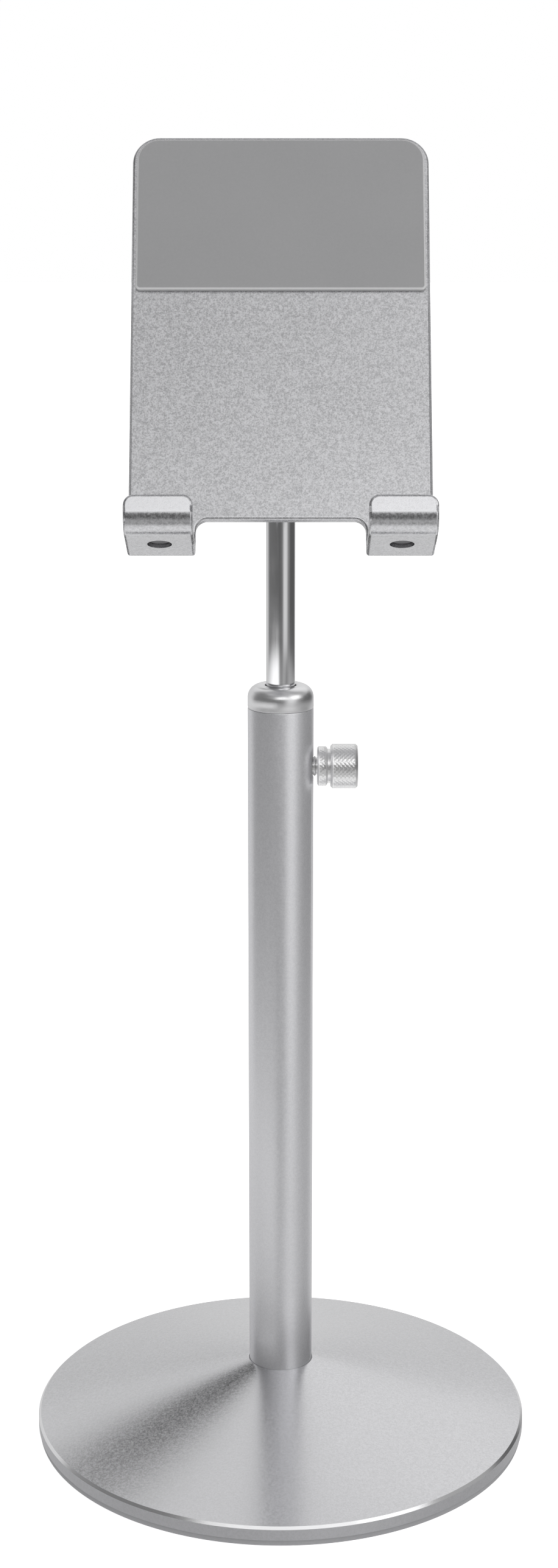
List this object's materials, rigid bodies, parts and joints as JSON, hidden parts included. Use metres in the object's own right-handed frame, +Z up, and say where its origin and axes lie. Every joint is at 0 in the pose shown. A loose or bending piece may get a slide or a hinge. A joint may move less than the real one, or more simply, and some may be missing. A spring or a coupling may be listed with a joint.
{
  "type": "tablet stand",
  "caption": "Desk stand that holds a tablet or phone upright in a leaning plate with hooks, on a telescopic column with a thumbscrew clamp and a heavy round base.",
  "frame": {"origin": "centre of the base's underside, on the column's axis", "axes": "+Z up along the column; -Y is the front, the side the holder plate faces; +X is the thumbscrew's side"},
  "size_m": [0.125, 0.1284, 0.3231],
  "materials": {
    "satin_aluminium": "fine blasted and clear anodised, satin silver",
    "bright_aluminium": "fine blasted, with a bright rounded edge",
    "dark_aluminium": "blasted, satin",
    "polished_steel": "polished plating",
    "plated_steel": "zinc plated",
    "grey_iron": "machined, lightly oiled",
    "grey_silicone": "matte moulded silicone",
    "white_nylon": "moulded, slightly waxy",
    "brass_insert": "turned"
  },
  "bodies": {
    "column": {"base_shell": "satin_aluminium", "base_weight": "grey_iron", "foot_pad": "grey_silicone", "base_screw": "plated_steel", "base_washer": "plated_steel", "column_tube": "satin_aluminium", "column_plug": "dark_aluminium", "column_collar": "bright_aluminium", "guide_bush": "white_nylon", "clamp_nut": "brass_insert"},
    "clamp_tip": {"clamp_pad": "white_nylon"},
    "clamp_screw": {"thumb_screw": "polished_steel"},
    "slider": {"stop_bush": "white_nylon"},
    "rod": {"telescopic_rod": "polished_steel", "rod_end_screw": "plated_steel", "hinge_head": "dark_aluminium"},
    "holder": {"hinge_bracket": "satin_aluminium", "hinge_bolt": "plated_steel", "hinge_nut": "plated_steel", "friction_washers": "white_nylon", "bracket_screws": "plated_steel", "holder_plate": "satin_aluminium", "back_pad": "grey_silicone", "hook_liner_left": "grey_silicone", "hook_liner_right": "grey_silicone"}
  },
  "joints": [
    {"name": "clamp_travel", "type": "slide", "parent": "column", "child": "clamp_tip", "axis": [1, 0, 0], "range_m": [0, 0.0008]},
    {"name": "clamp_turn", "type": "hinge", "parent": "clamp_tip", "child": "clamp_screw", "pos_m": [0.01, 0, 0.17475], "axis": [1, 0, 0], "range_deg": [0, 360]},
    {"name": "height", "type": "slide", "parent": "column", "child": "slider", "axis": [0, 0, 1], "range_m": [-0.086, 0.028]},
    {"name": "swivel", "type": "hinge", "parent": "slider", "child": "rod", "pos_m": [0, 0, 0.126], "axis": [0, 0, 1], "continuous": true},
    {"name": "tilt", "type": "hinge", "parent": "rod", "child": "holder", "pos_m": [0, 0, 0.29295], "axis": [1, 0, 0], "range_deg": [-64, 16]}
  ],
  "couplings": [
    {"joint": "clamp_travel", "follows": "clamp_turn", "m_per_rad": 0.000127}
  ]
}
